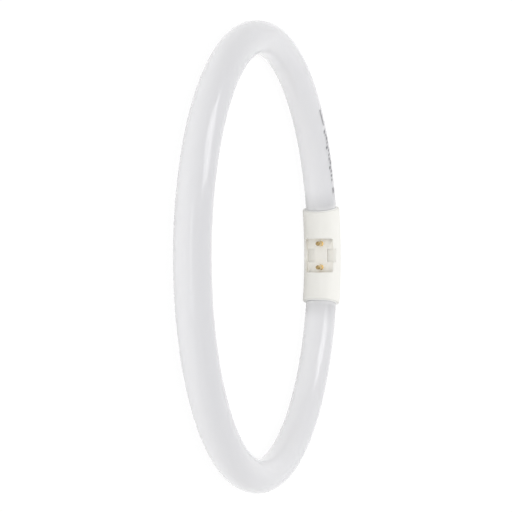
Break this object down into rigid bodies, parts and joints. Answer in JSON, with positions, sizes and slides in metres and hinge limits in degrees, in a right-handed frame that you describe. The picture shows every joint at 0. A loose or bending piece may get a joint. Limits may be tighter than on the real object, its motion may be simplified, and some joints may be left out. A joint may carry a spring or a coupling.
{
  "type": "circular led tube",
  "caption": "Circular LED tube: a milky ring whose ends meet inside a curved plastic cap, with a keyed recess and brass contact pins that face the ring's centre.",
  "frame": {"origin": "centre of the ring, on the ring's mid-plane", "axes": "+X from the ring's centre to the middle of the cap, +Z along the ring's own axis, up when the lamp lies flat, +Y to complete a right-handed frame"},
  "size_m": [0.2268, 0.225, 0.0198],
  "materials": {
    "milky_glass": "milky, satin",
    "cap_plastic": "fine satin, warm white",
    "pin_brass": "turned, satin",
    "cushion_silicone": "matt",
    "board_laminate": "solder mask",
    "package_black": "moulded",
    "choke_ferrite": "ferrite",
    "capacitor_sleeve": "shrunk sleeve",
    "resistor_coat": "lacquer",
    "strip_film": "film"
  },
  "bodies": {
    "root": {"milky_tube": "milky_glass", "cap_inner_shell": "cap_plastic", "cap_outer_shell": "cap_plastic", "contact_pin_upper": "pin_brass", "contact_pin_lower": "pin_brass", "end_cushion_upper": "cushion_silicone", "end_cushion_lower": "cushion_silicone", "driver_board": "board_laminate", "bridge_rectifier": "package_black", "driver_chip": "package_black", "choke": "choke_ferrite", "smoothing_capacitor": "capacitor_sleeve", "fuse_resistor": "resistor_coat", "strip_tail_upper": "strip_film", "strip_tail_lower": "strip_film"}
  },
  "joints": []
}
